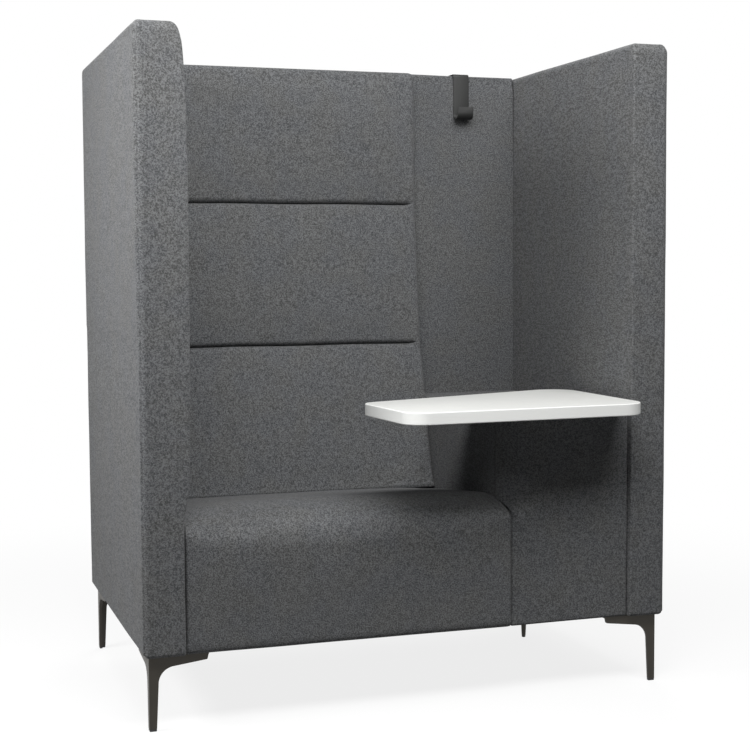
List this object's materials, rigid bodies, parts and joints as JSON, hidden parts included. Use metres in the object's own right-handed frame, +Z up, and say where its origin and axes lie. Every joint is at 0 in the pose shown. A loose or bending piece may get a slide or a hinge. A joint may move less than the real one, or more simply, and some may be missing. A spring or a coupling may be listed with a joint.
{
  "type": "privacy booth sofa",
  "caption": "High-backed privacy booth sofa with padded wings, channelled back cushion, fixed side table on an upholstered pedestal, over-panel coat hook and slim metal legs.",
  "frame": {"origin": "on the floor, in the middle of the whole booth's outline, the table's overhang included", "axes": "+Z up; the front faces -Y; +X to the right seen from the front, which is the table's side"},
  "size_m": [1.158, 0.9025, 1.403],
  "materials": {
    "upholstery": "matte",
    "foam": "matte",
    "dust_cloth": "matte",
    "webbing": "matte",
    "timber": "matte",
    "hardboard": "matte",
    "plywood": "matte",
    "table_laminate": "satin",
    "table_edge": "satin",
    "steel": "satin",
    "leg_finish": "satin",
    "glide_plastic": "matte",
    "hook_finish": "satin"
  },
  "bodies": {
    "booth": {"back_cover": "upholstery", "back_cushion_board": "plywood", "back_cushion_cover": "upholstery", "back_cushion_foam": "foam", "back_cushion_grip_tapes": "webbing", "back_dust_sheet": "dust_cloth", "back_foam": "foam", "back_frame": "timber", "back_front_board": "hardboard", "back_rear_board": "hardboard", "front_left_leg": "leg_finish", "front_right_leg": "leg_finish", "joining_bolts": "steel", "left_wing_cover": "upholstery", "left_wing_dust_sheet": "dust_cloth", "left_wing_foam": "foam", "left_wing_frame": "timber", "left_wing_inner_board": "hardboard", "left_wing_outer_board": "hardboard", "leg_glides": "glide_plastic", "leg_screws": "steel", "middle_foot": "leg_finish", "panel_studs": "steel", "pedestal_carcass": "plywood", "pedestal_cover": "upholstery", "pedestal_dust_sheet": "dust_cloth", "pedestal_foam": "foam", "pedestal_top_board": "plywood", "rear_left_leg": "leg_finish", "rear_right_leg": "leg_finish", "right_wing_cover": "upholstery", "right_wing_dust_sheet": "dust_cloth", "right_wing_foam": "foam", "right_wing_frame": "timber", "right_wing_inner_board": "hardboard", "right_wing_outer_board": "hardboard", "seat_carcass": "plywood", "seat_cover": "upholstery", "seat_dust_sheet": "dust_cloth", "seat_foam": "foam", "seat_front_pad": "foam", "seat_webbing": "webbing", "table_bolts": "steel", "table_edge_band": "table_edge", "table_plate": "steel", "table_top": "table_laminate"},
    "hook": {"coat_hook": "hook_finish"}
  },
  "joints": [
    {"name": "hook_slide", "type": "slide", "parent": "booth", "child": "hook", "axis": [1, 0, 0], "range_m": [-0.111, 0.123]}
  ]
}
